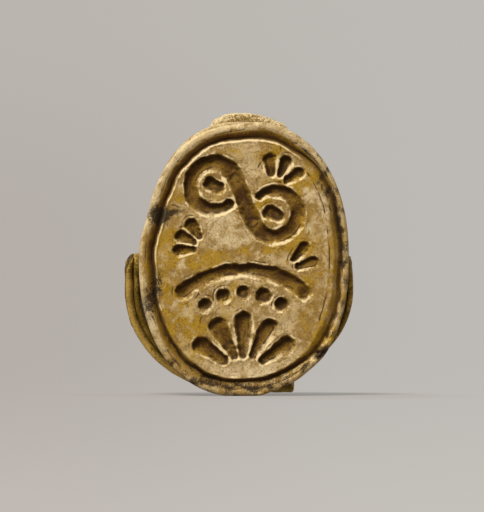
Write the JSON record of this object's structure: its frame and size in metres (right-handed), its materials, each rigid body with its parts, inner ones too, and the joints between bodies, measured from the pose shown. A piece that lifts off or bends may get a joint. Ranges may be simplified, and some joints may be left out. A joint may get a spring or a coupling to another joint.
{
  "type": "inscribed scarab on a swing hoop",
  "caption": "Carved stone scarab seal with an ornamented oval base, hung by side pivots in a metal strap hoop that swings behind it as a strut or hanger.",
  "frame": {"origin": "centre of the inscribed oval face", "axes": "+Z from the tail to the head of the beetle, -Y out of the inscribed face, +X to the right as that face is read"},
  "size_m": [0.0184, 0.0093, 0.0226],
  "materials": {
    "stone": "worn and polished, stained brown in the cuts",
    "hoop_metal": "hand-hammered, dulled yellow metal",
    "pivot_metal": "filed, dulled yellow metal"
  },
  "bodies": {
    "stone": {"scarab_body": "stone", "left_pivot_pin": "pivot_metal", "right_pivot_pin": "pivot_metal", "left_collar": "pivot_metal", "right_collar": "pivot_metal"},
    "hoop": {"hoop_inner_strap": "hoop_metal", "hoop_outer_strap": "hoop_metal", "upper_lap_rivet": "hoop_metal", "lower_lap_rivet": "hoop_metal"}
  },
  "joints": [
    {"name": "hoop_swing", "type": "hinge", "parent": "stone", "child": "hoop", "pos_m": [0, 0.0044, -0.0005], "axis": [1, 0, 0], "range_deg": [-20, 135]}
  ]
}
